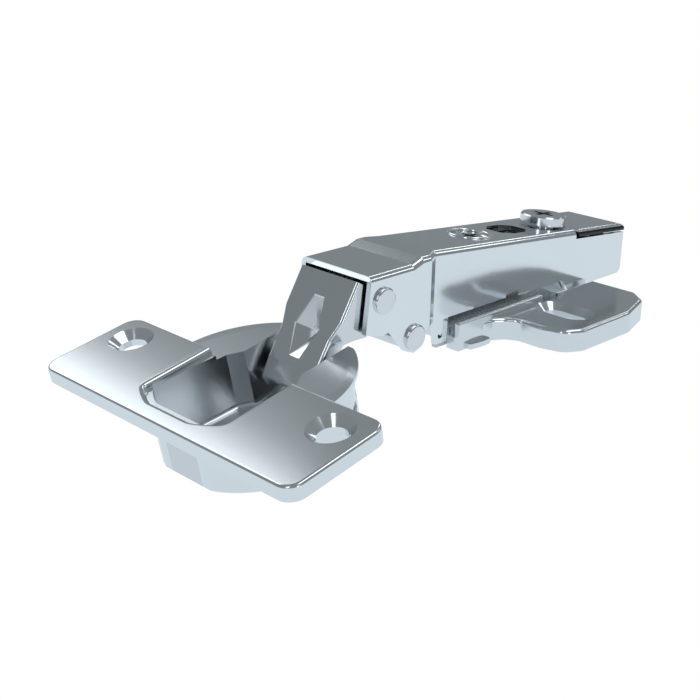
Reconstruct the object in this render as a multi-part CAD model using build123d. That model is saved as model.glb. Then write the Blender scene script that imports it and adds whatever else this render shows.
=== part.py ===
from build123d import *
import os
from math import atan2, cos, degrees, hypot, radians, sin, sqrt, tan

os.makedirs("parts", exist_ok=True)

# Concealed cabinet hinge with a 35 mm cup, drawn open as it stands with the door at 102 degrees.
# The frame is that of the cabinet side: z = 0 is its face, +Z points into the cabinet, +Y to its
# back, +X along the hinge axis. The origin lies midway between the plate's two fixing slots.

# Door position
OPEN_ANGLE = 102.0
CUP_Y = -68.0
CUP_Z = 6.1
CUP_TILT = OPEN_ANGLE - 90.0

# Link pivots: A and B on the arm, C and D in the cup (measured from the cup's own centre)
PIVOT_A = (-44.3, 14.5)
PIVOT_B = (-36.05, 5.7)
PIVOT_C = (9.92, -9.06)
PIVOT_D = (13.16, -7.86)
ARM_PIN_R = 1.6
CUP_PIN_R = 1.25
PIN_SUNK = 0.35
RUN_CLEAR = 0.05

# How far the two links turn while the door closes
OUTER_TURN = 22.8
INNER_TURN = 32.2

# Sheet steel
SHEET = 1.05
BEND = 1.25

# Hinge arm
NOSE_HALF = 8.83
ARM_HALF = 7.47
NOSE_FRONT = -47.5
NOSE_LIP = -48.6
NOSE_TOP = 19.4
RAMP_START = -36.7
RAMP_END = -34.2
JOG_START = -32.0
JOG_END = -29.5
ARM_TOP_AT_ZERO = 17.48
ARM_SLOPE = 5.37
ARM_TOP_END = 14.2
ARM_REAR = 31.6
ARM_BOTTOM = 6.6
ARM_TAIL_BOTTOM = 3.7
TAB_BOTTOM = 1.9
TAB_LENGTH = 3.9
LUG_R = 3.1

# Mounting plate
PLATE_THICK = 4.3
WING_HALF = 25.2
WING_FRONT = -11.2
WING_REAR = 20.4
SADDLE_FRONT = -24.3
SADDLE_HALF = 9.5
RAIL_TOP = 5.6
RAIL_END = 1.3
RAIL_THICK = 1.15
SLOT_SPACING = 32.0
SLOT_LENGTH = 9.6
SLOT_WIDTH = 4.8
SLOT_SINK = 1.4

# Cup and its flange
CUP_R = 17.45
CUP_WALL = 1.0
CUP_DEPTH = 14.1
CUP_FLOOR = 13.1
RIM_R = 18.6
RIM_TOP = 2.1
FLANGE_HALF = 32.75
FLANGE_FRONT = -20.5
FLANGE_BACK = 0.45
FLANGE_THICK = 2.8
HOLE_SPACING = 52.0
HOLE_BACK = 5.5
HOLE_R = 2.6
HOLE_SINK_R = 4.15
MOUTH_R = 17.6
MOUTH_HALF = 10.5
MOUTH_FRONT = 16.8
MOUTH_DEPTH = 1.3
LIP_R = 0.9
CHANNEL_HALF = 7.4
CHANNEL_DEPTH = 11.6
CUP_BACK = 16.4

# Links
LINK_HALF_TOP = 7.3
LINK_HALF_LOW = 6.3
LINK_SHEET = 1.1
LINK_FACE_TOP = (-49.2, 18.5)
LINK_FACE_ANGLE = 31.1
INNER_HALF = 4.7

# Adjusters
CAM_Y = 12.3
CAM_HEAD_R = 4.7
CAM_HEAD_THICK = 1.9
CAM_NECK_R = 2.5
CAM_THROW = 1.6
CAM_PEG_R = 0.85
CAM_START = 160.0
DEPTH_TRAVEL = 3.0
SCREW_Y = -11.2
SCREW_R = 2.9
DIMPLE_R = 4.25
WINDOW_Y = 0.2
WINDOW_LENGTH = 8.0
WINDOW_WIDTH = 7.0
WEB_TOP = 12.0
CARRIER_HALF = 6.2

# Release lever at the back
CAP_FRONT = 15.0
CAP_SKIRT = 1.35
LEVER_Y = 17.5
LEVER_Z = 12.2
LEVER_PIN_R = 1.1
TONGUE_REAR = 21.0
TAIL_GATE = 7.6

# Soft-close damper
DAMPER_Z = 15.2
DAMPER_R = 2.6
DAMPER_BORE_R = 1.9
DAMPER_FRONT = -32.5
DAMPER_LENGTH = 10.3
ROD_R = 0.7
DAMPER_TRAVEL = 5.0
TAIL_REACH = 5.5
TAIL_ANGLE = 63.0

SLOPE = tan(radians(ARM_SLOPE))


def arm_top(y):
    """Height of the arm's sloping top at a distance y from the slots."""
    return ARM_TOP_AT_ZERO - SLOPE * y


def polygon(points):
    return make_face(Polyline(*points, close=True))


def side_prism(face, half):
    """Extrude a face drawn in the YZ plane evenly to both sides of the middle."""
    return extrude(Plane.YZ.offset(-half) * face, 2 * half)


def side_slab(face, low, high):
    """Extrude a face drawn in the YZ plane between two values of x."""
    return extrude(Plane.YZ.offset(low) * face, high - low)


def both_sides(face, low, high):
    return side_slab(face, low, high) + side_slab(face, -high, -low)


def box(low, high):
    size = [b - a for a, b in zip(low, high)]
    centre = [(a + b) / 2 for a, b in zip(low, high)]
    return Pos(*centre) * Box(*size)


def pin(radius, x_low, x_high, y, z):
    """A plain round pin along the hinge axis."""
    face = Plane.YZ.offset(x_low) * Pos(y, z) * Circle(radius)
    return extrude(face, x_high - x_low)


def in_cup(shape):
    """Carry a shape from the cup's own frame to its place on the open door."""
    return Pos(0, CUP_Y, CUP_Z) * Rot(CUP_TILT, 0, 0) * shape


def on_slope(y, z, shape):
    """Stand a shape square to the arm's sloping top."""
    return Pos(0, y, z) * Rot(-ARM_SLOPE, 0, 0) * shape


def cup_point(point):
    tilt = radians(CUP_TILT)
    u, w = point
    return (CUP_Y + u * cos(tilt) - w * sin(tilt), CUP_Z + u * sin(tilt) + w * cos(tilt))


def edges_near(shape, test):
    return ShapeList([e for e in shape.edges() if test(e)])


def coil(radius, wire, length, turns):
    """A coil spring standing on the origin along +Z."""
    path = Helix(pitch=length / turns, height=length, radius=radius)
    start = Plane(path @ 0, z_dir=path % 0)
    return sweep(start * Circle(wire / 2), path=path)


# Mounting plate: cast zinc, two wings and a saddle with a raised rail along each side
def make_mounting_plate():
    half_outline = [
        (0, SADDLE_FRONT),
        (SADDLE_HALF, SADDLE_FRONT),
        (SADDLE_HALF, -17.2),
        (9.9, -14.6),
        (11.2, -12.6),
        (13.4, WING_FRONT),
        (18.6, WING_FRONT),
        (23.2, -10.0),
        (WING_HALF, -6.4),
        (WING_HALF, 9.0),
        (22.6, 17.4),
        (18.8, WING_REAR),
        (8.6, WING_REAR),
        (8.6, TAIL_GATE),
        (0, TAIL_GATE),
    ]
    half = extrude(polygon(half_outline), PLATE_THICK)
    corners = {(13.4, WING_FRONT): 3.0, (23.2, -10.0): 3.0, (18.6, WING_FRONT): 3.0,
               (WING_HALF, -6.4): 3.0, (WING_HALF, 9.0): 3.0, (22.6, 17.4): 2.0,
               (18.8, WING_REAR): 1.5, (11.2, -12.6): 1.5, (9.9, -14.6): 1.5}
    for (x, y), radius in corners.items():
        edge = edges_near(half, lambda e: abs(e.center().X - x) < 0.01 and abs(e.center().Y - y) < 0.01)
        half = fillet(edge, radius)
    half = fillet(edges_near(half, lambda e: e.center().Z > PLATE_THICK - 0.01 and e.center().X > 9.4), 0.7)
    body = half + mirror(half, Plane.YZ)

    rail = box((SADDLE_HALF - RAIL_THICK, SADDLE_FRONT, PLATE_THICK - 1), (SADDLE_HALF, RAIL_END, RAIL_TOP))
    rail = fillet(edges_near(rail, lambda e: e.center().Z > RAIL_TOP - 0.01), 0.45)
    body += rail + mirror(rail, Plane.YZ)

    slot = SlotOverall(SLOT_LENGTH, SLOT_WIDTH)
    for side in (-1, 1):
        place = Pos(side * SLOT_SPACING / 2, 0, 0)
        body -= place * extrude(slot, PLATE_THICK)
        mouth = SlotOverall(SLOT_LENGTH + 2 * SLOT_SINK, SLOT_WIDTH + 2 * SLOT_SINK)
        sink = loft([Pos(0, 0, PLATE_THICK - SLOT_SINK) * slot, Pos(0, 0, PLATE_THICK) * mouth])
        body -= place * sink

    # hook edge at the front, with a foot along each side of the saddle
    body -= box((-6.6, SADDLE_FRONT - 1, -1), (6.6, SADDLE_FRONT + 2.6, 1.7))
    foot = polygon([(SADDLE_HALF - 1, SADDLE_FRONT + 2.2), (SADDLE_HALF + 0.9, SADDLE_FRONT + 2.6),
                    (SADDLE_HALF + 1.3, -18.6), (SADDLE_HALF + 1.1, -16.2), (SADDLE_HALF - 1, -15.4)])
    foot = extrude(foot, 1.0)
    body += foot + mirror(foot, Plane.YZ)
    pocket = polygon([(10.4, -16.0), (14.4, -12.0), (16.4, -14.0), (12.4, -18.0)])
    pocket = Pos(0, 0, 0.9) * extrude(pocket, 2.2)
    body -= pocket + mirror(pocket, Plane.YZ)

    # middle opening for the arm's tail, with the tongue that the latch grips
    tongue = box((-5.0, TAIL_GATE - 1.0, 1.3), (5.0, TONGUE_REAR, 2.9))
    return body + tongue


def cam_peg(z):
    """Where the cam's peg crosses the height z, its axis leaning with the arm's top."""
    start = radians(CAM_START)
    lean = (cam_seat() - z) * SLOPE
    return (CAM_THROW * sin(start), CAM_Y - lean + CAM_THROW * cos(start))


def cam_seat():
    """Height of the cam head's underside."""
    return arm_top(CAM_Y) + 0.35


# Clip carrier: folded steel channel that hooks on the plate and carries the arm's adjusters
def make_clip_carrier():
    front = SADDLE_FRONT
    profile = polygon([
        (front - 0.15, PLATE_THICK), (TAIL_GATE + 0.2, PLATE_THICK), (TAIL_GATE + 0.2, 3.2), (24.0, 3.2),
        (24.0, 11.0), (20.6, 14.0), (15.6, 14.0), (14.2, WEB_TOP), (-23.0, WEB_TOP), (front - 2.6, 10.0),
        (front - 2.6, 0.5), (front + 1.4, 0.5), (front + 1.4, 1.6), (front - 0.15, 1.6),
    ])
    inner = CARRIER_HALF - SHEET
    walls = both_sides(profile, inner, CARRIER_HALF)
    web = box((-inner, -22.4, WEB_TOP - SHEET), (inner, 14.2, WEB_TOP))
    body = walls + web
    neck_r = 1.5
    neck_y = SCREW_Y - (arm_top(SCREW_Y) - WEB_TOP) * SLOPE
    neck_path = SlotOverall(DEPTH_TRAVEL + 2 * neck_r + 0.4, 2 * neck_r, rotation=90)
    slot = Pos(0, neck_y - DEPTH_TRAVEL / 2) * neck_path
    body -= Pos(0, 0, WEB_TOP - 2) * extrude(slot, 3)
    body -= Pos(0, neck_y - DEPTH_TRAVEL - 3.6, WEB_TOP - 2) * extrude(Circle(2.7), 3)
    peg_x, peg_y = cam_peg(WEB_TOP - SHEET / 2)
    cam_slot = Pos((peg_x + CAM_THROW) / 2, peg_y) * SlotOverall(3.9, 2 * CAM_PEG_R + 0.6)
    body -= Pos(0, 0, WEB_TOP - 2) * extrude(cam_slot, 3)
    body -= pin(LEVER_PIN_R + 0.01, -CARRIER_HALF - 1, CARRIER_HALF + 1, LEVER_Y, LEVER_Z)
    return body


# Hinge arm: one folded sheet, open underneath, wide at the nose and narrow along the plate
def arm_side(top_drop):
    """Side outline of the arm's channel, with its top edge lowered by top_drop."""
    high = arm_top(JOG_END)
    return [
        (NOSE_FRONT, NOSE_TOP - top_drop), (RAMP_START, NOSE_TOP - top_drop), (RAMP_END, high - top_drop),
        (JOG_END, high - top_drop), (ARM_REAR, arm_top(ARM_REAR) - top_drop),
    ]


def make_hinge_arm():
    plan = [
        (NOSE_HALF, NOSE_LIP - 1), (NOSE_HALF, JOG_START), (ARM_HALF, JOG_END), (ARM_HALF, ARM_REAR + 1),
        (-ARM_HALF, ARM_REAR + 1), (-ARM_HALF, JOG_END), (-NOSE_HALF, JOG_START), (-NOSE_HALF, NOSE_LIP - 1),
    ]
    inner_plan = [(x - SHEET if x > 0 else x + SHEET, y) for x, y in plan]
    lug_y, lug_z = PIVOT_B
    reach = LUG_R * 0.72
    below = [
        (ARM_REAR, ARM_TAIL_BOTTOM + 1.0), (ARM_REAR - 0.8, ARM_TAIL_BOTTOM), (12.6, ARM_TAIL_BOTTOM),
        (10.4, ARM_BOTTOM - 0.4), (-4.2, ARM_BOTTOM - 0.4), (-4.2, ARM_BOTTOM + 0.7),
        (-8.1, ARM_BOTTOM + 0.7), (-8.1, ARM_BOTTOM), (JOG_END + TAB_LENGTH + 0.3, ARM_BOTTOM),
        (JOG_END + TAB_LENGTH, TAB_BOTTOM), (JOG_END + 0.9, TAB_BOTTOM), (JOG_END + 0.3, ARM_BOTTOM),
        (lug_y + LUG_R + 0.4, ARM_BOTTOM + 0.2), (lug_y + LUG_R, lug_z),
        (lug_y + reach, lug_z - reach), (lug_y, lug_z - LUG_R), (lug_y - reach, lug_z - reach),
        (-41.2, 7.0), (-42.6, 8.5), (-44.4, 7.9), (NOSE_LIP, 9.0), (NOSE_FRONT, NOSE_TOP - 1.0),
    ]
    outer = side_prism(polygon(arm_side(0) + below), NOSE_HALF + 1) & extrude(polygon(plan), 30)
    crest = arm_side(0)

    def on_crest(point):
        for (y1, z1), (y2, z2) in zip(crest, crest[1:]):
            if y1 - 0.01 <= point.Y <= y2 + 0.01:
                return abs(point.Z - z1 - (z2 - z1) * (point.Y - y1) / (y2 - y1)) < 0.01
        return False

    bends = edges_near(outer, lambda e: on_crest(e @ 0) and on_crest(e @ 1)
                       and abs(e.center().X) > ARM_HALF - 0.01)
    outer = fillet(bends, BEND)
    hollow_side = polygon(
        [(NOSE_LIP - 2, NOSE_TOP - SHEET)] + arm_side(SHEET)[1:-1]
        + [(ARM_REAR + 2, arm_top(ARM_REAR + 2) - SHEET), (ARM_REAR + 2, -2), (NOSE_LIP - 2, -2)]
    )
    hollow = side_prism(hollow_side, NOSE_HALF) & Pos(0, 0, -3) * extrude(polygon(inner_plan), 30)
    body = outer - hollow

    # the top sheet ends before the release cap, and the walls run on lower down
    seam = CAP_SKIRT + 0.45
    cut = polygon([
        (ARM_TOP_END, 30), (ARM_TOP_END, arm_top(ARM_TOP_END) - seam),
        (ARM_REAR + 1, arm_top(ARM_REAR + 1) - seam), (ARM_REAR + 1, 30),
    ])
    body -= side_prism(cut, ARM_HALF + 1)
    gate_r = CAM_NECK_R + 0.35
    gate = Pos(0, CAM_Y + 3.0, 13.5) * extrude(SlotOverall(6.0 + 2 * gate_r, 2 * gate_r, rotation=90), 6.0)
    body -= gate

    # dished collar for the side screw, and the window over the damper switch
    dish = Solid.make_cone(SCREW_R + 0.2, DIMPLE_R + 0.3, 1.15)
    collar = Cylinder(SCREW_R + 1.0, 1.4, align=(Align.CENTER, Align.CENTER, Align.MAX))
    z = arm_top(SCREW_Y)
    body += on_slope(SCREW_Y, z, Pos(0, 0, 0.1 - SHEET) * collar)
    body -= on_slope(SCREW_Y, z, Pos(0, 0, -1.0) * dish)
    body -= on_slope(SCREW_Y, z, Cylinder(SCREW_R + 0.2, 8))
    half_w, half_l = WINDOW_WIDTH / 2, WINDOW_LENGTH / 2
    window = polygon([
        (-half_w + 1.6, -half_l), (half_w - 1.6, -half_l), (half_w, -half_l + 2.2), (half_w, half_l - 2.2),
        (half_w - 1.6, half_l), (-half_w + 1.6, half_l), (-half_w, half_l - 2.2), (-half_w, -half_l + 2.2),
    ])
    body -= Pos(0, WINDOW_Y, 12) * extrude(fillet(window.vertices(), 0.6), 8)

    # oval slot in each front tab, and the two rivet bores
    tab_slot = Pos(JOG_END + 2.1, (TAB_BOTTOM + ARM_BOTTOM) / 2 + 0.1) * SlotOverall(3.0, 1.2, rotation=90)
    body -= side_prism(tab_slot, NOSE_HALF)
    for y, z in (PIVOT_A, PIVOT_B):
        body -= pin(ARM_PIN_R + 0.01, -NOSE_HALF - 1, NOSE_HALF + 1, y, z)
    return body


# Arm pins: riveted steel pins with low domed heads against the nose's walls
def make_arm_pin(pivot):
    y, z = pivot
    head_r, head_rise = 2.45, 0.75
    body = pin(ARM_PIN_R, -NOSE_HALF, NOSE_HALF, y, z)
    head = Cylinder(head_r, head_rise, align=(Align.CENTER, Align.CENTER, Align.MIN))
    head = fillet(head.edges().sort_by(Axis.Z)[-1], 0.45)
    right = Pos(NOSE_HALF, y, z) * Rot(0, 90, 0) * head
    left = Pos(-NOSE_HALF, y, z) * Rot(0, -90, 0) * head
    return body + right + left


# Outer link: folded channel whose face shows above the cup, its ears cut back to clear the rim and pin D
def make_outer_link():
    angle = radians(LINK_FACE_ANGLE)
    down = (-sin(angle), -cos(angle))
    back = (cos(angle), -sin(angle))

    def at(along, depth):
        return (
            LINK_FACE_TOP[0] + down[0] * along + back[0] * depth,
            LINK_FACE_TOP[1] + down[1] * along + back[1] * depth,
        )

    def place(point):
        dy, dz = point[0] - LINK_FACE_TOP[0], point[1] - LINK_FACE_TOP[1]
        return (dy * down[0] + dz * down[1], dy * back[0] + dz * back[1])

    a_along, a_depth = place(PIVOT_A)
    c_along, c_depth = place(cup_point(PIVOT_C))
    d_along, d_depth = place(cup_point(PIVOT_D))
    ear_a, ear_c, pin_gap = 3.35, 2.0, CUP_PIN_R + 0.3
    foot = c_along + 0.8
    ear = polygon([
        at(0, 0), at(17.4, 0), at(foot, 0.3), at(c_along + 2.0, c_depth - 1.0),
        at(c_along + 1.35, c_depth + 1.3), at(c_along, c_depth + ear_c), at(c_along - 1.2, c_depth + 1.3),
        at(d_along + 1.0, d_depth - pin_gap), at(d_along - 0.6, d_depth - pin_gap), at(13.2, 3.75),
        at(10.8, 3.7), at(9.5, 5.1), at(8.0, 7.3), at(a_along + 5.6, a_depth + 2.2),
        at(a_along + 2.2, a_depth + 2.6), at(a_along + 0.6, a_depth + ear_a - 0.1),
        at(a_along - 1.8, a_depth + 2.7), at(a_along - 3.1, a_depth + 0.9), at(a_along - 3.0, a_depth - 1.4),
        at(0, a_depth - 3.6),
    ])
    solid = side_prism(ear, LINK_HALF_TOP)

    # plan of the face: wide at the top, narrow where it dips into the cup
    def face_at(x, along):
        return Vector(x, *at(along, 0))

    face_plane = Plane(origin=(0, *at(0, 0)), x_dir=(1, 0, 0), z_dir=(0, -back[0], -back[1]))
    wide, narrow, bottom = 7.6, 11.2, c_along + 3.2
    sign = 1 if face_plane.to_local_coords(face_at(0, 5)).Y > 0 else -1

    def face_outline(inset):
        right = [(LINK_HALF_TOP - inset, -4), (LINK_HALF_TOP - inset, wide), (LINK_HALF_LOW - inset, narrow),
                 (LINK_HALF_LOW - inset, bottom)]
        left = [(-x, y) for x, y in reversed(right)]
        return polygon([(x, sign * y) for x, y in right + left])

    outer = solid & extrude(face_plane * face_outline(0), -14)
    bends = edges_near(outer, lambda e: abs(place((e.center().Y, e.center().Z))[1]) < 0.05
                       and abs(e.center().X) > LINK_HALF_LOW - 0.6 and e.length > 1.5)
    outer = fillet(bends, 0.8)
    core = extrude(face_plane.offset(-LINK_SHEET) * face_outline(LINK_SHEET), -14)
    body = outer - core
    half_in, half_out, low, mid, high = 1.25, 3.1, 15.9, 10.1, 4.25
    window = polygon([(x, sign * y) for x, y in (
        (-half_in, high), (half_in, high), (half_out, mid), (half_in, low), (-half_in, low), (-half_out, mid))])
    body -= extrude(face_plane.offset(1) * window, -LINK_SHEET - 2)
    body -= pin(ARM_PIN_R + RUN_CLEAR, -9, 9, *PIVOT_A)
    body -= pin(CUP_PIN_R + RUN_CLEAR, -9, 9, *cup_point(PIVOT_C))
    return body


# Inner link: steel casting that hooks over the cup's rim, with a barrel on pin B, a long eye on pin D and
# a tail to the damper
def turned(point, centre, angle):
    """Turn a point of the YZ plane about a centre, from +Y towards +Z."""
    y, z = point[0] - centre[0], point[1] - centre[1]
    return (centre[0] + y * cos(angle) - z * sin(angle), centre[1] + y * sin(angle) + z * cos(angle))


def eye_path(steps=12):
    """Track of pin D over the inner link while the links turn at their steady rates."""
    c, d = cup_point(PIVOT_C), cup_point(PIVOT_D)
    track = []
    for i in range(steps + 1):
        share = i / steps
        on_outer = turned(d, c, -radians(OPEN_ANGLE + OUTER_TURN) * share)
        on_arm = turned(on_outer, PIVOT_A, radians(OUTER_TURN) * share)
        track.append(turned(on_arm, PIVOT_B, -radians(INNER_TURN) * share))
    return track


def track_face(radius):
    """Face that a disc of this radius sweeps along the pin's track."""
    track = eye_path()
    face = Sketch() + [Pos(*p) * Circle(radius) for p in track]
    for (y1, z1), (y2, z2) in zip(track, track[1:]):
        step = hypot(y2 - y1, z2 - z1)
        turn = degrees(atan2(z2 - z1, y2 - y1))
        face += Pos((y1 + y2) / 2, (z1 + z2) / 2) * Rot(0, 0, turn) * Rectangle(step, 2 * radius)
    return face


def make_inner_link():
    barrel_r, eye_wall, wall = 2.6, 0.9, 1.1
    hook = [
        (32.0, -4.75), (29.8, -2.3), (27.4, -0.7), (25.0, -0.25), (18.6, -0.25), (16.2, -0.6), (13.6, -2.5),
        (11.9, -4.2), (10.9, -7.0), (12.8, -8.5), (15.5, -9.0), (16.5, -7.6), (16.65, -2.75), (17.0, -2.6),
        (24.0, -2.6), (26.6, -3.6), (28.3, -5.4), (29.3, -8.3),
    ]
    hollow = [
        (27.4, 1.5), (27.0, -1.5), (17.2, -1.5), (15.5, -3.2), (15.3, -5.6), (10.0, -5.6), (10.0, 1.5),
    ]
    body = side_prism(polygon([cup_point(p) for p in hook]), INNER_HALF)
    body -= side_prism(polygon([cup_point(p) for p in hollow]), INNER_HALF - wall)
    body += pin(barrel_r, -7.5, 7.5, *PIVOT_B)
    y, z = PIVOT_B
    tail = radians(TAIL_ANGLE)
    tip = (y + TAIL_REACH * cos(tail), z + TAIL_REACH * sin(tail))
    side = (-sin(tail), cos(tail))
    stem = polygon([
        (y + side[0] * 1.9, z + side[1] * 1.9), (y - side[0] * 1.9, z - side[1] * 1.9),
        (tip[0] - side[0] * 1.5, tip[1] - side[1] * 1.5), (tip[0] + side[0] * 1.5, tip[1] + side[1] * 1.5),
    ])
    body += side_prism(stem, 1.8) + pin(1.5, -1.8, 1.8, *tip)

    # the eye is the pin's own track, as wide as the pin and its clearance
    eye_r = CUP_PIN_R + 0.1
    body += side_prism(track_face(eye_r + eye_wall), INNER_HALF)
    body -= side_prism(track_face(eye_r), INNER_HALF + 1)
    body -= pin(ARM_PIN_R + RUN_CLEAR, -9, 9, *PIVOT_B)
    return body - pin(0.91, -3, 3, *tip)


def make_tail_pin():
    tail = radians(TAIL_ANGLE)
    return pin(0.9, -4.1, 4.1, PIVOT_B[0] + TAIL_REACH * cos(tail), PIVOT_B[1] + TAIL_REACH * sin(tail))


# Closing spring: the close-wound coil of a torsion spring round pin A; its two legs are left out
def make_closing_spring():
    radius, wire, start, length, turns = 2.65, 0.85, -4.2, 6.6, 6
    turns_part = Pos(start, *PIVOT_A) * Rot(0, 90, 0) * coil(radius, wire, length, turns)
    return turns_part


def make_spring_sleeve():
    tube = pin(2.15, -5.9, 5.9, *PIVOT_A)
    return tube - pin(ARM_PIN_R + RUN_CLEAR, -6, 6, *PIVOT_A)


# Cup: one zinc casting, with the screw flange, the rim, the bored bosses and the tub
def make_hinge_cup():
    flange_corner, flange_edge, mouth_corner, room_edge = 3.0, 0.6, 1.5, 0.8
    rim_corner, tub_corner, tub_edge = 1.8, 1.2, 0.5
    flange = box((-FLANGE_HALF, FLANGE_FRONT, -FLANGE_THICK), (FLANGE_HALF, FLANGE_BACK, 0))
    flange = fillet(flange.edges().filter_by(Axis.Z), flange_corner)
    flange = fillet(edges_near(flange, lambda e: e.center().Z > -0.01), flange_edge)

    # the mouth has a rounded lip, and the room below it narrows towards the two bosses
    mouth = Circle(MOUTH_R) & Pos(0, 10 - MOUTH_FRONT / 2) * Rectangle(2 * MOUTH_HALF, 20 + MOUTH_FRONT)
    mouth += Pos(0, 15) * Rectangle(2 * MOUTH_HALF, 30)
    mouth = fillet([v for v in mouth.vertices() if v.Y < -10], mouth_corner)
    block = box((-40, -30, -FLANGE_THICK), (40, 25, 0)) - extrude(mouth, -MOUTH_DEPTH)
    lip = edges_near(block, lambda e: e.center().Z > -0.01 and abs(e.center().X) < MOUTH_HALF + 0.1
                     and abs(e.center().Y) < 24)
    flange &= fillet(lip, LIP_R)

    def trimmed_disc(radius, top, bottom, front, back, corner):
        middle = (top + bottom) / 2
        disc = Pos(0, 0, bottom) * extrude(Circle(radius), top - bottom)
        disc &= box((-30, front, bottom - 1), (30, back, top + 1))
        upright = edges_near(disc, lambda e: e.center().Y > back - 0.01 and abs(e.center().Z - middle) < 0.01)
        return fillet(upright, corner)

    rim = trimmed_disc(RIM_R, -RIM_TOP, -FLANGE_THICK, -RIM_R - 1, CUP_BACK, rim_corner)
    tub = trimmed_disc(CUP_R, -FLANGE_THICK, -CUP_DEPTH, -CUP_BACK, CUP_BACK, tub_corner)
    tub = chamfer(edges_near(tub, lambda e: e.center().Z < -CUP_DEPTH + 0.01), tub_edge)
    body = flange + rim + tub

    inner_r = CUP_R - CUP_WALL
    half_plan = [(11.4, -20), (9.2, 2.5), (CHANNEL_HALF, 5.2), (CHANNEL_HALF, 20)]
    plan = polygon(half_plan + [(-x, y) for x, y in reversed(half_plan)])
    room = Pos(0, 0, -CUP_FLOOR) * extrude(plan, CUP_FLOOR + 1)
    room &= Pos(0, 0, -CUP_FLOOR - 1) * extrude(Circle(inner_r), CUP_FLOOR + 3)
    room &= box((-20, CUP_WALL - CUP_BACK, -CUP_FLOOR - 1), (20, 20, 3))
    room = fillet(edges_near(room, lambda e: e.center().Z < -CUP_FLOOR + 0.01), room_edge)
    body -= room
    body -= box((-CHANNEL_HALF, 12.0, -CHANNEL_DEPTH), (CHANNEL_HALF, 20, 1))

    for side in (-1, 1):
        place = Pos(side * HOLE_SPACING / 2, -HOLE_BACK, 0)
        body -= place * Pos(0, 0, -FLANGE_THICK - 1) * extrude(Circle(HOLE_R), FLANGE_THICK + 2)
        cone = Solid.make_cone(HOLE_R, HOLE_SINK_R, HOLE_SINK_R - HOLE_R)
        body -= place * Pos(0, 0, -(HOLE_SINK_R - HOLE_R)) * cone
    for u, w in (PIVOT_C, PIVOT_D):
        body -= pin(CUP_PIN_R + 0.01, -20, 20, u, w)
    return in_cup(body)


# Cup pins: two short ones at C, pressed into the bosses and the outer link's ears, and one at D
def pin_reach(pivot):
    """Half the span over which a cup pin stays sunk in the tub's round wall."""
    return sqrt(CUP_R ** 2 - (pivot[0] + CUP_PIN_R) ** 2) - PIN_SUNK


def make_outer_cup_pins():
    u, w = PIVOT_C
    start = LINK_HALF_LOW - LINK_SHEET - 0.05
    reach = pin_reach(PIVOT_C)
    return in_cup(pin(CUP_PIN_R, start, reach, u, w) + pin(CUP_PIN_R, -reach, -start, u, w))


def make_inner_cup_pin():
    u, w = PIVOT_D
    reach = pin_reach(PIVOT_D)
    return in_cup(pin(CUP_PIN_R, -reach, reach, u, w))


# Slide plate: folded bridge that runs on the carrier, rocks the arm and bears the depth cam
def make_slide_plate():
    front, rear = CAM_Y - 6.0, 14.1
    top = WEB_TOP + 2.4
    body = box((-5.0, front, top - 1.0), (5.0, rear, top))
    foot = WEB_TOP + 0.04
    body += box((-5.0, front, foot), (-4.0, rear, top)) + box((4.0, front, foot), (5.0, rear, top))
    rocker = Pos(CAM_Y, 14.0) * Circle(1.2)
    body += both_sides(rocker, 4.0, 5.0)
    return body - on_slope(CAM_Y, cam_seat(), Cylinder(CAM_NECK_R + RUN_CLEAR, 12))


# Depth cam: turned head with a cross recess, a neck through the slide plate and a thrown pin
def make_depth_cam():
    head = Cylinder(CAM_HEAD_R, CAM_HEAD_THICK, align=(Align.CENTER, Align.CENTER, Align.MIN))
    head = chamfer(head.edges().sort_by(Axis.Z)[-1], 0.25)
    cross = Box(1.2, 4.6, 2.4) + Box(4.6, 1.2, 2.4)
    head -= Pos(0, 0, CAM_HEAD_THICK) * cross
    seat = cam_seat()
    neck_low = WEB_TOP + 0.5
    down = (Align.CENTER, Align.CENTER, Align.MAX)
    neck = Cylinder(CAM_NECK_R, seat - neck_low, align=down)
    start = radians(CAM_START)
    peg = Cylinder(CAM_PEG_R, 1.5, align=down)
    peg = Pos(CAM_THROW * sin(start), CAM_THROW * cos(start), neck_low - seat) * peg
    return on_slope(CAM_Y, seat, head + neck + peg)


# Side screw: threaded stud in the arm's collar, held by its neck in the carrier's keyhole
def make_side_screw():
    sunk = 0.25
    length = arm_top(SCREW_Y) - sunk - WEB_TOP - 0.4
    down = (Align.CENTER, Align.CENTER, Align.MAX)
    stud = Cylinder(SCREW_R, length, align=down)
    stud = chamfer(stud.edges().sort_by(Axis.Z)[-1], 0.3)
    neck = Pos(0, 0, -length) * Cylinder(1.3, 2.0, align=down)
    foot = Pos(0, 0, -length - 1.7) * Cylinder(2.4, 0.9, align=down)
    cross = Box(1.0, 4.0, 2.4) + Box(4.0, 1.0, 2.4)
    return on_slope(SCREW_Y, arm_top(SCREW_Y), Pos(0, 0, -sunk) * (stud + neck + foot - cross))


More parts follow.
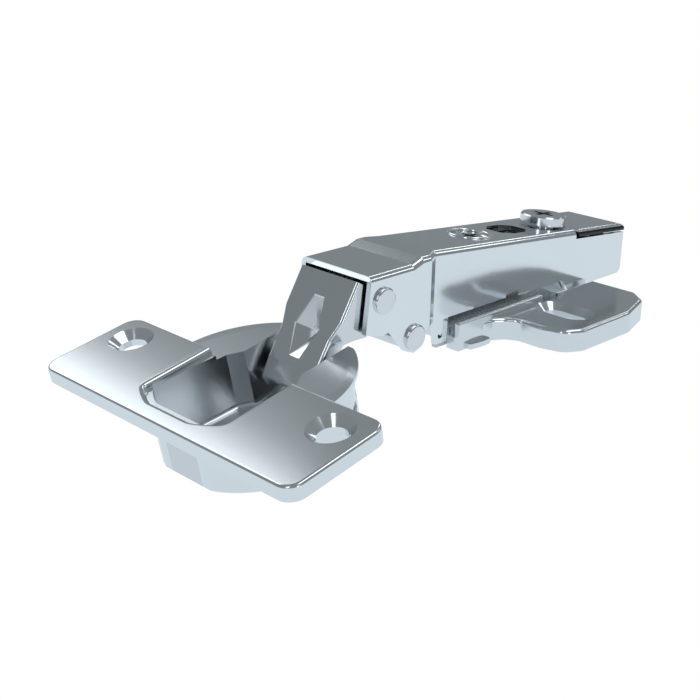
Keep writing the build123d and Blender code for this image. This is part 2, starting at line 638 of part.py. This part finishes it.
# Release lever: cap at the back of the arm with two cheeks that hook under the plate's tongue
def make_release_lever():
    half = ARM_HALF + 0.05
    front, rear = CAP_FRONT, ARM_REAR + 0.1
    cap = polygon([
        (front, arm_top(front)), (rear, arm_top(rear)), (rear, arm_top(rear) - CAP_SKIRT),
        (front, arm_top(front) - CAP_SKIRT),
    ])
    cap = side_prism(cap, half)
    long_edges = edges_near(cap, lambda e: e.length > 10 and e.center().Z > arm_top(e.center().Y) - 0.05)
    rear_edge = edges_near(cap, lambda e: abs(e.center().Y - rear) < 0.01
                           and e.center().Z > arm_top(rear) - 0.05)
    cap = fillet(long_edges + rear_edge, 1.1)
    hollow = polygon([
        (front - 1, arm_top(front - 1) - SHEET), (rear - SHEET, arm_top(rear - SHEET) - SHEET),
        (rear - SHEET, arm_top(rear) - 4), (front - 1, arm_top(front) - 4),
    ])
    cap -= side_prism(hollow, half - SHEET)
    cheek = polygon([
        (front + 0.9, arm_top(front + 0.9) - SHEET), (28.5, arm_top(28.5) - SHEET), (26.0, 10.0), (23.4, 6.0),
        (23.4, 0.25), (TONGUE_REAR - 1.4, 0.25), (TONGUE_REAR - 1.4, 0.9), (TONGUE_REAR + 0.15, 0.9),
        (TONGUE_REAR + 0.15, 6.0), (LEVER_Y + 1.6, 9.8), (LEVER_Y - 1.7, 10.6),
    ])
    body = cap + both_sides(cheek, 3.9, 4.9)
    return body - pin(LEVER_PIN_R + RUN_CLEAR, -7, 7, LEVER_Y, LEVER_Z)


def make_lever_pin():
    return pin(LEVER_PIN_R, -CARRIER_HALF, CARRIER_HALF, LEVER_Y, LEVER_Z)


def make_lever_spring():
    return Pos(-3.4, LEVER_Y, LEVER_Z) * Rot(0, 90, 0) * coil(1.75, 0.6, 6.8, 6)


# Damper: closed cylinder, guide cap, rod with its piston, return spring and clamp
def tube_along_y(radius, front, length, z):
    tube = Cylinder(radius, length, align=(Align.CENTER, Align.CENTER, Align.MIN))
    return Pos(0, front, z) * Rot(-90, 0, 0) * tube


def make_damper_cylinder():
    body = tube_along_y(DAMPER_R, DAMPER_FRONT, DAMPER_LENGTH, DAMPER_Z)
    return body - tube_along_y(DAMPER_BORE_R, DAMPER_FRONT + 0.8, DAMPER_LENGTH, DAMPER_Z)


def make_damper_cap():
    rear = DAMPER_FRONT + DAMPER_LENGTH
    spigot = tube_along_y(DAMPER_BORE_R - 0.02, rear - 0.8, 1.0, DAMPER_Z)
    body = tube_along_y(DAMPER_R, rear, 1.0, DAMPER_Z) + spigot
    return body - tube_along_y(ROD_R + RUN_CLEAR, rear - 2, 4, DAMPER_Z)


def piston_front():
    return DAMPER_FRONT + 0.8 + DAMPER_TRAVEL + 2.2


def make_damper_piston():
    body = tube_along_y(DAMPER_BORE_R - RUN_CLEAR, piston_front(), 1.4, DAMPER_Z)
    return body - tube_along_y(ROD_R, piston_front() + 0.5, 2, DAMPER_Z)


def crossbar_front():
    return DAMPER_FRONT + DAMPER_LENGTH + 1.0 + DAMPER_TRAVEL + 0.1


def make_damper_rod():
    start = piston_front() + 0.5
    return tube_along_y(ROD_R, start, crossbar_front() - start, DAMPER_Z)


def make_damper_spring():
    length = piston_front() - DAMPER_FRONT - 0.8
    return Pos(0, DAMPER_FRONT + 1.1, DAMPER_Z) * Rot(-90, 0, 0) * coil(1.4, 0.4, length - 0.6, 5)


def make_damper_holder():
    front, rear = DAMPER_FRONT + 0.8, DAMPER_FRONT + DAMPER_LENGTH - 0.8
    crest = arm_top(JOG_END) - SHEET
    block = polygon([
        (front, DAMPER_Z + 1.4), (front, crest), (JOG_END, crest), (rear, arm_top(rear) - SHEET),
        (rear, DAMPER_Z + 1.4),
    ])
    return side_prism(block, 2.3) - tube_along_y(DAMPER_R, front - 1, 20, DAMPER_Z)


# Damper slide: moulded frame round the cylinder, pulled forward by the inner link's tail
def make_damper_slide():
    tail = radians(TAIL_ANGLE)
    tip_y = PIVOT_B[0] + TAIL_REACH * cos(tail)
    tip_z = PIVOT_B[1] + TAIL_REACH * sin(tail)
    bar_front, bar_rear = tip_y - 1.9, crossbar_front() + 1.1
    side = polygon([
        (bar_front, 9.0), (tip_y + 1.9, 9.0), (tip_y + 2.6, 13.0), (bar_rear, 13.0), (bar_rear, 16.4),
        (bar_front + 2.2, 16.4), (bar_front, 14.2),
    ])
    body = both_sides(side, 3.1, 4.2)
    body += box((-3.2, crossbar_front(), 13.0), (3.2, bar_rear, 16.4))
    slot = Pos(tip_y, tip_z + 0.3) * SlotOverall(2.9, 2.1, rotation=90)
    return body - side_prism(slot, 6)


# Damper switch: moulded slider under the window, with a bar that reaches past the side screw
def make_damper_switch():
    front, rear = WINDOW_Y - 4.6, WINDOW_Y + 3.8
    gap = SHEET + 0.2
    plate = polygon([
        (front, arm_top(front) - gap), (rear, arm_top(rear) - gap), (rear, arm_top(rear) - gap - 1.0),
        (front, arm_top(front) - gap - 1.0),
    ])
    body = side_slab(plate, -5.2, 4.6)
    thumb = polygon([
        (WINDOW_Y - 1.2, arm_top(WINDOW_Y) - gap - 0.5), (WINDOW_Y - 1.2, arm_top(WINDOW_Y) - 0.5),
        (WINDOW_Y + 1.2, arm_top(WINDOW_Y) - 0.7), (WINDOW_Y + 1.2, arm_top(WINDOW_Y) - gap - 0.5),
    ])
    body += side_slab(thumb, -2.9, -1.2)
    bar = polygon([(SCREW_Y - 3.2, 14.7), (front + 0.4, 14.7), (front + 0.4, 16.0), (SCREW_Y - 3.2, 15.8)])
    return body + side_slab(bar, 3.6, 4.6)


parts = {
    "mounting_plate": make_mounting_plate(),
    "clip_carrier": make_clip_carrier(),
    "hinge_arm": make_hinge_arm(),
    "front_arm_pin": make_arm_pin(PIVOT_A),
    "rear_arm_pin": make_arm_pin(PIVOT_B),
    "outer_link": make_outer_link(),
    "inner_link": make_inner_link(),
    "tail_pin": make_tail_pin(),
    "closing_spring": make_closing_spring(),
    "spring_sleeve": make_spring_sleeve(),
    "hinge_cup": make_hinge_cup(),
    "outer_cup_pins": make_outer_cup_pins(),
    "inner_cup_pin": make_inner_cup_pin(),
    "slide_plate": make_slide_plate(),
    "depth_cam": make_depth_cam(),
    "side_screw": make_side_screw(),
    "release_lever": make_release_lever(),
    "lever_pin": make_lever_pin(),
    "lever_spring": make_lever_spring(),
    "damper_cylinder": make_damper_cylinder(),
    "damper_cap": make_damper_cap(),
    "damper_piston": make_damper_piston(),
    "damper_rod": make_damper_rod(),
    "damper_spring": make_damper_spring(),
    "damper_holder": make_damper_holder(),
    "damper_slide": make_damper_slide(),
    "damper_switch": make_damper_switch(),
}

for name, shape in parts.items():
    export_step(shape, f"parts/{name}.step")
    print(name, len(shape.solids()), round(shape.volume, 1))
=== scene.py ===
import math

import bmesh
import bpy
from mathutils import Matrix, Vector


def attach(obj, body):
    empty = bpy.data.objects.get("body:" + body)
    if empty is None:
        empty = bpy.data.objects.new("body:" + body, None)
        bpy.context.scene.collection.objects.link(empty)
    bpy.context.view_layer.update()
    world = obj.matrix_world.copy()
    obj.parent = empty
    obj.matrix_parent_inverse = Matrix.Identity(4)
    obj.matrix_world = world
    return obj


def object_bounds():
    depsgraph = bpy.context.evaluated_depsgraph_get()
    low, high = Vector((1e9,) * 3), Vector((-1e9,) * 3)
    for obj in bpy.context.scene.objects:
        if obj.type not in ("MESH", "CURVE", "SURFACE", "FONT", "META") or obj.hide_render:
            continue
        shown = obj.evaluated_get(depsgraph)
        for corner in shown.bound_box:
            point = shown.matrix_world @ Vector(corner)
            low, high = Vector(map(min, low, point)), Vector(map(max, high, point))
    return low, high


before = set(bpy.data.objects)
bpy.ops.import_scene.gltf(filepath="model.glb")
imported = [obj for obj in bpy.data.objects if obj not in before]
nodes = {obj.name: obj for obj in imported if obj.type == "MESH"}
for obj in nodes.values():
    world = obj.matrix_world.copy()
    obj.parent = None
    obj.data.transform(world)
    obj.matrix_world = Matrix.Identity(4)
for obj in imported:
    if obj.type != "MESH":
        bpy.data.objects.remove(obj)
cad_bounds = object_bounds()


# Mounting plate: one zinc casting, barrelled smooth and nickel plated. It is screwed to the cabinet
# side through its two slots. Its plating sets the recipe that the other plated pieces vary.
class Value:
    """One output of a shader node; arithmetic on it adds Math nodes."""

    def __init__(self, recipe, socket):
        self.recipe = recipe
        self.socket = socket

    def _maths(self, operation, first, second):
        return self.recipe.node("ShaderNodeMath", {"operation": operation}, {0: first, 1: second})

    def __add__(self, other):
        return self._maths("ADD", self, other)

    def __radd__(self, other):
        return self._maths("ADD", other, self)

    def __sub__(self, other):
        return self._maths("SUBTRACT", self, other)

    def __rsub__(self, other):
        return self._maths("SUBTRACT", other, self)

    def __mul__(self, other):
        return self._maths("MULTIPLY", self, other)

    def __rmul__(self, other):
        return self._maths("MULTIPLY", other, self)


class Recipe:
    """A material under construction, with its surface shader and its place on the piece."""

    def __init__(self, name):
        self.material = bpy.data.materials.new(name)
        self.material.use_nodes = True
        self.tree = self.material.node_tree
        self.surface = self.tree.nodes["Principled BSDF"]
        place = self.tree.nodes.new("ShaderNodeTexCoord")
        self.place = Value(self, place.outputs["Object"])

    def node(self, kind, settings, sockets, output=0):
        made = self.tree.nodes.new(kind)
        for name, value in settings.items():
            setattr(made, name, value)
        for name, value in sockets.items():
            self.feed(made.inputs[name], value)
        return Value(self, made.outputs[output])

    def feed(self, socket, value):
        if isinstance(value, Value):
            self.tree.links.new(value.socket, socket)
        else:
            socket.default_value = value

    def noise(self, size, detail=2.0):
        """Noise from 0 to 1 whose lumps are about size metres across."""
        sockets = {"Vector": self.place, "Scale": 1 / size, "Detail": detail}
        return self.node("ShaderNodeTexNoise", {}, sockets)

    def blend(self, share, first, second):
        return self.node("ShaderNodeMix", {"data_type": "RGBA"}, {0: share, 6: first, 7: second}, output=2)

    def peel(self, strength, cloud, fine):
        """The slight waviness of plating: broad swells with fine grain on them."""
        height = cloud * 0.6 + fine * 0.4
        return self.node("ShaderNodeBump", {}, {"Strength": strength, "Distance": 0.00008, "Height": height})

    def finish(self, **sockets):
        for name, value in sockets.items():
            self.feed(self.surface.inputs[name.replace("_", " ")], value)
        return self.material


def nickel(name, light, dark, gloss, orange_peel, lump=0.004):
    """Bright nickel plating: light and dark are its two tones, gloss its roughness.

    orange_peel is the strength of its waviness and lump the size of its swells in metres.
    """
    recipe = Recipe(name)
    cloud = recipe.noise(lump, 3.0)
    fine = recipe.noise(lump / 14, 2.0)
    colour = recipe.blend(cloud, light, dark)
    rough = gloss * (0.8 + 0.4 * fine)
    bump = recipe.peel(orange_peel, cloud, fine)
    return recipe.finish(Base_Color=colour, Metallic=1.0, Roughness=rough, Normal=bump)


def coat(piece, material):
    piece.data.materials.clear()
    piece.data.materials.append(material)


casting = nickel("plated casting", (0.78, 0.81, 0.83, 1), (0.75, 0.78, 0.80, 1), 0.17, 0.04)
coat(nodes["mounting_plate"], casting)


# Clip carrier: folded steel sheet, plated before folding, hooked on the plate's front edge. The slide
# plate that the depth cam drives lies on it and has the same duller finish.
inner_sheet = nickel("plated inner sheet", (0.64, 0.66, 0.68, 1), (0.56, 0.58, 0.60, 1), 0.28, 0.06)
for name in ("clip_carrier", "slide_plate"):
    coat(nodes[name], inner_sheet)


# Hinge arm: drawn and folded from one steel sheet and plated to a mirror, so its top shows the dark
# of the room and its sides the bright table.
arm_sheet = nickel("polished sheet", (0.84, 0.87, 0.885, 1), (0.81, 0.84, 0.855, 1), 0.13, 0.03, lump=0.009)
coat(nodes["hinge_arm"], arm_sheet)


# Raised ring of the arm's collar, pressed up round the side screw. Half of it stands above the arm's
# sloping top, and it tilts and slides with the arm.
def collar_ring(centre, fall, ring_radius, bead_radius):
    bpy.ops.mesh.primitive_torus_add(
        location=centre,
        rotation=(-fall, 0, 0),
        major_radius=ring_radius,
        minor_radius=bead_radius,
        major_segments=72,
        minor_segments=16,
    )
    ring = bpy.context.object
    ring.name = "collar_ring"
    for polygon in ring.data.polygons:
        polygon.use_smooth = True
    return ring


ring = collar_ring(
    centre=(0, -0.0112, 0.01848), fall=math.radians(5.37), ring_radius=0.0041, bead_radius=0.00038
)
coat(ring, arm_sheet)
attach(ring, "arm")


# Arm pins and cup pins: turned steel, plated. The heads of the arm pins are spun over the nose walls,
# and the lever's pin and the tail's pin are of the same stock.
turned_steel = nickel("plated pin", (0.80, 0.82, 0.84, 1), (0.74, 0.76, 0.78, 1), 0.18, 0.04, lump=0.002)
for name in ("front_arm_pin", "rear_arm_pin", "outer_cup_pins", "inner_cup_pin", "tail_pin", "lever_pin"):
    coat(nodes[name], turned_steel)


# Links: the outer one is folded sheet and the inner one a steel casting. Both are plated a little
# duller than the arm.
link_sheet = nickel("plated link", (0.75, 0.77, 0.79, 1), (0.72, 0.74, 0.76, 1), 0.18, 0.04, lump=0.005)
for name in ("outer_link", "inner_link"):
    coat(nodes[name], link_sheet)


# Stiffening recess of the outer link: six sides pressed in to one deep point, with a bevelled rim. It
# fills the window of the link's face and moves with the link.
def link_recess(top, lean, corners, rim, rim_drop, depth, thickness):
    """corners are given by distance from the link's middle and distance down its face."""
    down = Vector((0, -math.sin(lean), -math.cos(lean)))
    out = Vector((0, -math.cos(lean), math.sin(lean)))
    start = Vector((0, top[0], top[1]))
    count = len(corners)
    centre = sum(y for x, y in corners) / count
    tip_share = 0.6

    def place(x, along, height):
        return start + Vector((x, 0, 0)) + down * along + out * height

    shoulder = []
    for x, y in corners:
        keep = 1 - rim / math.hypot(x, y - centre)
        shoulder.append((x * keep, centre + (y - centre) * keep))
    points = [place(x, y, 0) for x, y in corners]
    points += [place(x, y, -rim_drop) for x, y in shoulder]
    points += [place(x, y, -thickness) for x, y in corners]
    points += [place(0, centre, -depth), place(0, centre, -depth - thickness * tip_share)]
    front_tip, back_tip = len(points) - 2, len(points) - 1
    faces = []
    for i in range(count):
        k = (i + 1) % count
        faces.append((i, k, count + k, count + i))
        faces.append((count + i, count + k, front_tip))
        faces.append((k, i, 2 * count + i, 2 * count + k))
        faces.append((2 * count + k, 2 * count + i, back_tip))
    mesh = bpy.data.meshes.new("link_recess")
    mesh.from_pydata([tuple(p) for p in points], [], faces)
    mesh.validate()
    built = bmesh.new()
    built.from_mesh(mesh)
    bmesh.ops.recalc_face_normals(built, faces=built.faces)
    built.to_mesh(mesh)
    built.free()
    piece = bpy.data.objects.new("link_recess", mesh)
    bpy.context.scene.collection.objects.link(piece)
    return piece


half_narrow, half_wide = 0.00125, 0.0031
high, middle, low = 0.00425, 0.0101, 0.0159
recess = link_recess(
    top=(-0.0492, 0.0185),
    lean=math.radians(31.1),
    corners=[
        (-half_narrow, high), (half_narrow, high), (half_wide, middle),
        (half_narrow, low), (-half_narrow, low), (-half_wide, middle),
    ],
    rim=0.00028,
    rim_drop=0.00014,
    depth=0.0033,
    thickness=0.0006,
)
coat(recess, link_sheet)
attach(recess, "outer_link")


# Cup: zinc casting with its screw flange in one piece, barrelled and plated bright. Down in the tub its
# colour is painted darker with depth, a painted shade, and its plating is rougher there.
def cup_finish(centre, tilt, room_radius, shade_and_dull_from, shade_and_dull_to):
    recipe = Recipe("plated cup")
    cloud = recipe.noise(0.006, 3.0)
    fine = recipe.noise(0.0004, 2.0)
    x, y, z = (
        recipe.node("ShaderNodeSeparateXYZ", {}, {"Vector": recipe.place}, output=axis)
        for axis in ("X", "Y", "Z")
    )
    depth = math.sin(tilt) * (y - centre[0]) - math.cos(tilt) * (z - centre[1])
    back = math.cos(tilt) * (y - centre[0]) + math.sin(tilt) * (z - centre[1])
    sunk = recipe.node(
        "ShaderNodeMapRange", {}, {"Value": depth, "From Min": shade_and_dull_from, "From Max": shade_and_dull_to}
    )
    inside = recipe.node(
        "ShaderNodeMath", {"operation": "LESS_THAN"}, {0: x * x + back * back, 1: room_radius ** 2}
    )
    shade_and_dull = sunk * inside
    bright = recipe.blend(cloud, (0.81, 0.84, 0.86, 1), (0.79, 0.82, 0.84, 1))
    # Painted shade: the colour darkens with depth down in the tub.
    colour = recipe.blend(shade_and_dull, bright, (0.70, 0.72, 0.74, 1))
    rough = 0.13 + 0.03 * fine + 0.07 * shade_and_dull
    bump = recipe.peel(0.02, cloud, fine)
    return recipe.finish(Base_Color=colour, Metallic=1.0, Roughness=rough, Normal=bump)


plated_cup = cup_finish(
    centre=(-0.068, 0.0061), tilt=math.radians(12), room_radius=0.0169, shade_and_dull_from=0.0008, shade_and_dull_to=0.0024
)
coat(nodes["hinge_cup"], plated_cup)


# Adjusters: a turned side screw and depth cam with pressed cross recesses. Their plating is the same,
# with the finer lumps of a small turned piece.
turned_head = nickel("plated screw", (0.78, 0.80, 0.82, 1), (0.70, 0.72, 0.74, 1), 0.18, 0.05, lump=0.0015)
for name in ("depth_cam", "side_screw"):
    coat(nodes[name], turned_head)


# Release lever: a sheet cap with two cheeks, its top polished like the arm. Below a band under its bend,
# the skirt and the cheeks are painted near black, a painted shadow and dark reflection.
def cap_finish(front_height, fall, band_depth):
    recipe = Recipe("polished cap")
    cloud = recipe.noise(0.004, 3.0)
    apart = recipe.node("ShaderNodeSeparateXYZ", {}, {"Vector": recipe.place}, output="Z")
    along = recipe.node("ShaderNodeSeparateXYZ", {}, {"Vector": recipe.place}, output="Y")
    under = front_height - fall * along - apart
    painted_dark_band = recipe.node(
        "ShaderNodeMapRange", {"interpolation_type": "SMOOTHSTEP"},
        {"Value": under, "From Min": band_depth * 0.8, "From Max": band_depth * 1.2},
    )
    bright = recipe.blend(cloud, (0.80, 0.82, 0.84, 1), (0.76, 0.78, 0.80, 1))
    # Painted shade: the skirt and cheeks below the band are painted near black.
    colour = recipe.blend(painted_dark_band, bright, (0.05, 0.052, 0.055, 1))
    return recipe.finish(Base_Color=colour, Metallic=1.0, Roughness=0.14 + 0.05 * cloud)


arm_top_height, arm_fall, dark_band_depth = 0.01748, math.tan(math.radians(5.37)), 0.00045
coat(nodes["release_lever"], cap_finish(arm_top_height, arm_fall, dark_band_depth))


# Springs: oiled spring steel wire with drawing streaks, for the closing spring, the release lever's
# spring and the damper's return spring.
def wire_steel():
    recipe = Recipe("spring wire")
    streak = recipe.noise(0.0008, 2.0)
    colour = recipe.blend(streak, (0.72, 0.73, 0.75, 1), (0.50, 0.51, 0.53, 1))
    return recipe.finish(Base_Color=colour, Metallic=1.0, Roughness=0.3 + 0.15 * streak)


spring_wire = wire_steel()
for name in ("closing_spring", "lever_spring", "damper_spring"):
    coat(nodes[name], spring_wire)


# Damper: a grey acetal cylinder, a plated rod, and dark acetal for the cap, piston, holder, slide and
# switch. The closing spring's sleeve is of the dark acetal too.
def moulded(name, colour, shade, gloss):
    recipe = Recipe(name)
    grain = recipe.noise(0.0005, 3.0)
    tone = recipe.blend(grain, colour, shade)
    bump = recipe.node("ShaderNodeBump", {}, {"Strength": 0.1, "Distance": 0.00004, "Height": grain})
    return recipe.finish(Base_Color=tone, Roughness=gloss + 0.1 * grain, Normal=bump)


grey_acetal = moulded("grey acetal", (0.36, 0.37, 0.38, 1), (0.30, 0.31, 0.32, 1), 0.4)
dark_acetal = moulded("dark acetal", (0.022, 0.022, 0.024, 1), (0.012, 0.012, 0.013, 1), 0.45)
coat(nodes["damper_cylinder"], grey_acetal)
coat(nodes["damper_rod"], turned_steel)
dark_pieces = ("damper_cap", "damper_piston", "damper_holder", "damper_slide", "damper_switch")
for name in dark_pieces + ("spring_sleeve",):
    coat(nodes[name], dark_acetal)


# Table: a pale board far larger than the hinge. The camera sees it white, the plating sees it a
# little cooler and dimmer, and everything else sees a board that takes the hinge's shadow.
def pale_table():
    recipe = Recipe("pale table")
    grain = recipe.noise(0.05, 2.0)
    tone = recipe.blend(grain, (0.86, 0.86, 0.87, 1), (0.84, 0.84, 0.85, 1))
    recipe.finish(Base_Color=tone, Roughness=0.6)
    ray = recipe.tree.nodes.new("ShaderNodeLightPath")
    seen = Value(recipe, ray.outputs["Is Camera Ray"])
    mirrored = Value(recipe, ray.outputs["Is Glossy Ray"])
    tint = recipe.blend(seen, (0.765, 0.84, 0.895, 1), (1, 1, 1, 1))
    glow = recipe.node("ShaderNodeEmission", {}, {"Color": tint, "Strength": 1.0})
    cast = Value(recipe, recipe.surface.outputs["BSDF"])
    mixed = recipe.node("ShaderNodeMixShader", {}, {0: seen + mirrored * 0.92, 1: cast, 2: glow})
    recipe.feed(recipe.tree.nodes["Material Output"].inputs["Surface"], mixed)
    return recipe.material


table_drop = 0.004
bpy.ops.mesh.primitive_plane_add(size=6.0, location=(0, 0, cad_bounds[0][2] - table_drop))
table = bpy.context.object
table.name = "table"
coat(table, pale_table())


# Studio: a grey room that the tops of the plating mirror. The camera alone sees it white, so the
# picture's ground is blank.
world = bpy.data.worlds.new("studio")
bpy.context.scene.world = world
world.use_nodes = True
room = world.node_tree
background = room.nodes["Background"]
background.inputs["Color"].default_value = (0.232, 0.256, 0.268, 1)
background.inputs["Strength"].default_value = 1.0
white = room.nodes.new("ShaderNodeBackground")
white.inputs["Color"].default_value = (1, 1, 1, 1)
ray = room.nodes.new("ShaderNodeLightPath")
choice = room.nodes.new("ShaderNodeMixShader")
room.links.new(ray.outputs["Is Camera Ray"], choice.inputs[0])
room.links.new(background.outputs[0], choice.inputs[1])
room.links.new(white.outputs[0], choice.inputs[2])
room.links.new(choice.outputs[0], room.nodes["World Output"].inputs["Surface"])


# Soft boxes, each given by where it stands round the hinge, how large it is and how bright its cloth
# is. The big one on the left shades the cup's flange, and the strips draw lines along the bends.
hinge_middle = Vector((0.0, -0.028, 0.008))


def soft_box(name, azimuth, elevation, width, height, glow, roll=0, distance=0.8):
    around, up = math.radians(azimuth), math.radians(elevation)
    away = Vector((math.cos(around) * math.cos(up), math.sin(around) * math.cos(up), math.sin(up)))
    lamp = bpy.data.lights.new(name, "AREA")
    lamp.shape = "RECTANGLE"
    lamp.size = width
    lamp.size_y = height
    lamp.energy = glow * math.pi * width * height
    lamp.color = (0.93, 0.975, 1.0)
    holder = bpy.data.objects.new(name, lamp)
    bpy.context.scene.collection.objects.link(holder)
    holder.location = hinge_middle + away * distance
    leaning = away.to_track_quat("Z", "Y").to_matrix() @ Matrix.Rotation(math.radians(roll), 3, "Z")
    holder.rotation_euler = leaning.to_euler()


soft_box("left box", 178, 37, 1.05, 1.15, 1.55, roll=20, distance=2.0)
soft_box("back strip", 108, 37, 0.06, 0.45, 3.0)
soft_box("right strip", 58, 31, 0.45, 0.05, 3.0)
soft_box("front strip", 290, 31, 0.14, 0.45, 2.6)
soft_box("near strip", 348, 11, 0.12, 0.30, 2.6)
soft_box("high strip", 30, 66, 0.60, 0.22, 2.2)


# Camera: a short telephoto at the photograph's angle, before the hinge's front right corner and a
# little above it, leaning one degree.
eye = Vector((0.1497, -0.1930, 0.0838))
sight = Vector((-0.66082, 0.65941, -0.35846))
lean = math.radians(1.036)
lens = 63.77
camera_data = bpy.data.cameras.new("camera")
camera_data.lens = lens
camera_data.sensor_width = 36.0
camera_data.clip_start = 0.005
camera = bpy.data.objects.new("camera", camera_data)
bpy.context.scene.collection.objects.link(camera)
turn = sight.to_track_quat("-Z", "Y").to_matrix().to_4x4()
camera.matrix_world = Matrix.Translation(eye) @ turn @ Matrix.Rotation(lean, 4, "Z")
bpy.context.scene.camera = camera
bpy.context.scene.view_settings.view_transform = "Standard"
